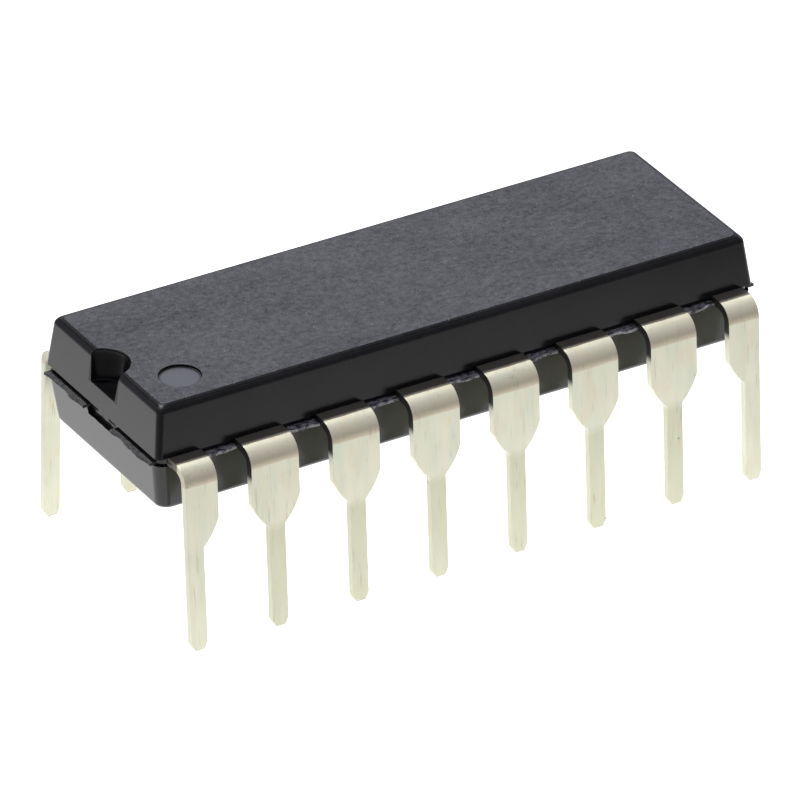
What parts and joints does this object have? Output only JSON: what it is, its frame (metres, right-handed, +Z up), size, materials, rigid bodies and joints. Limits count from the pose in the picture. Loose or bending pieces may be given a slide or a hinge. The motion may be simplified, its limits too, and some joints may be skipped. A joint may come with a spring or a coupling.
{
  "type": "dual in-line integrated circuit",
  "caption": "Black moulded dual in-line chip with a half-round end notch, a round corner recess and two rows of stepped, tinned leads bent down for through-hole mounting.",
  "frame": {"origin": "under the middle of the part, in the plane of the lead tips", "axes": "+X along the body, away from the notched end; +Y from the front row to the back row; +Z up through the top face"},
  "size_m": [0.0194, 0.0086, 0.0071],
  "materials": {
    "epoxy": "satin moulded, slightly mottled",
    "tinned_lead": "matte tin plating",
    "copper_frame": "bare rolled copper alloy",
    "attach_epoxy": "cured silver-filled adhesive",
    "silicon": "polished, passivated",
    "gold_wire": "drawn"
  },
  "bodies": {
    "root": {"mould_body": "epoxy", "die_paddle": "copper_frame", "die_attach": "attach_epoxy", "silicon_die": "silicon", "lead_01": "tinned_lead", "lead_02": "tinned_lead", "lead_03": "tinned_lead", "lead_04": "tinned_lead", "lead_05": "tinned_lead", "lead_06": "tinned_lead", "lead_07": "tinned_lead", "lead_08": "tinned_lead", "lead_09": "tinned_lead", "lead_10": "tinned_lead", "lead_11": "tinned_lead", "lead_12": "tinned_lead", "lead_13": "tinned_lead", "lead_14": "tinned_lead", "lead_15": "tinned_lead", "lead_16": "tinned_lead", "bond_wire_01": "gold_wire", "bond_wire_02": "gold_wire", "bond_wire_03": "gold_wire", "bond_wire_04": "gold_wire", "bond_wire_05": "gold_wire", "bond_wire_06": "gold_wire", "bond_wire_07": "gold_wire", "bond_wire_08": "gold_wire", "bond_wire_09": "gold_wire", "bond_wire_10": "gold_wire", "bond_wire_11": "gold_wire", "bond_wire_12": "gold_wire", "bond_wire_13": "gold_wire", "bond_wire_14": "gold_wire", "bond_wire_15": "gold_wire", "bond_wire_16": "gold_wire"}
  },
  "joints": []
}
